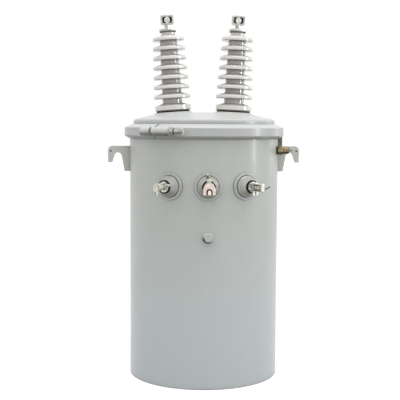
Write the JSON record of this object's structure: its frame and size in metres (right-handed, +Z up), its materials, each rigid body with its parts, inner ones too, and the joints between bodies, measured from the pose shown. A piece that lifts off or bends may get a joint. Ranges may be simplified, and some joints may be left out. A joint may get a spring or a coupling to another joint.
{
  "type": "pole mounted transformer",
  "caption": "Oil-filled distribution transformer: round steel tank, band-clamped cover, shedded bushings on top, low-voltage terminals in front, hooks and pole hangers.",
  "frame": {"origin": "centre of the tank's bottom rim, on the floor it stands on", "axes": "+Z up along the tank's axis, -Y the front with the low-voltage bushings, +Y towards the pole"},
  "size_m": [0.592, 0.571, 1.1046],
  "materials": {
    "tank_paint": "light grey gloss enamel",
    "cover_paint": "light grey gloss enamel",
    "core": "plain",
    "band_steel": "light grey enamel",
    "gasket_rubber": "matt",
    "dark_rubber": "matt",
    "zinc_hardware": "zinc plated",
    "porcelain": "glossy glaze",
    "cap_metal": "cast, satin",
    "terminal_metal": "tinned, satin",
    "clamp_metal": "plated",
    "stud_metal": "satin",
    "saddle_bronze": "satin",
    "eye_metal": "tinned, satin",
    "strap_copper": "tinned copper, satin",
    "valve_brass": "cast, satin",
    "pin_steel": "bright"
  },
  "bodies": {
    "root": {"tank_wall": "tank_paint", "tank_bottom": "tank_paint", "core_and_oil": "core", "cover": "cover_paint", "cover_gasket": "gasket_rubber", "clamp_band": "band_steel", "band_lug_left": "band_steel", "band_lug_right": "band_steel", "band_bolt": "zinc_hardware", "band_nut": "zinc_hardware", "band_stop": "dark_rubber", "hv_gasket_left": "gasket_rubber", "hv_gasket_right": "gasket_rubber", "hv_bushing_left": "porcelain", "hv_bushing_right": "porcelain", "hv_cap_left": "cap_metal", "hv_cap_right": "cap_metal", "hv_terminal_left": "terminal_metal", "hv_terminal_right": "terminal_metal", "hv_clamp_left": "clamp_metal", "hv_clamp_right": "clamp_metal", "lv_bushing_left": "porcelain", "lv_bushing_centre": "porcelain", "lv_bushing_right": "porcelain", "lv_seal_left": "gasket_rubber", "lv_seal_centre": "gasket_rubber", "lv_seal_right": "gasket_rubber", "lv_stud_left": "stud_metal", "lv_stud_centre": "stud_metal", "lv_stud_right": "stud_metal", "lv_saddle_left": "saddle_bronze", "lv_saddle_centre": "saddle_bronze", "lv_saddle_right": "saddle_bronze", "lv_eye_left": "eye_metal", "lv_eye_right": "eye_metal", "ground_strap": "strap_copper", "ground_pad": "tank_paint", "ground_bolt": "zinc_hardware", "lifting_lug_left": "tank_paint", "lifting_lug_right": "tank_paint", "relief_valve": "valve_brass", "relief_pin": "pin_steel", "pole_hanger_upper": "tank_paint", "pole_hanger_lower": "tank_paint"}
  },
  "joints": []
}
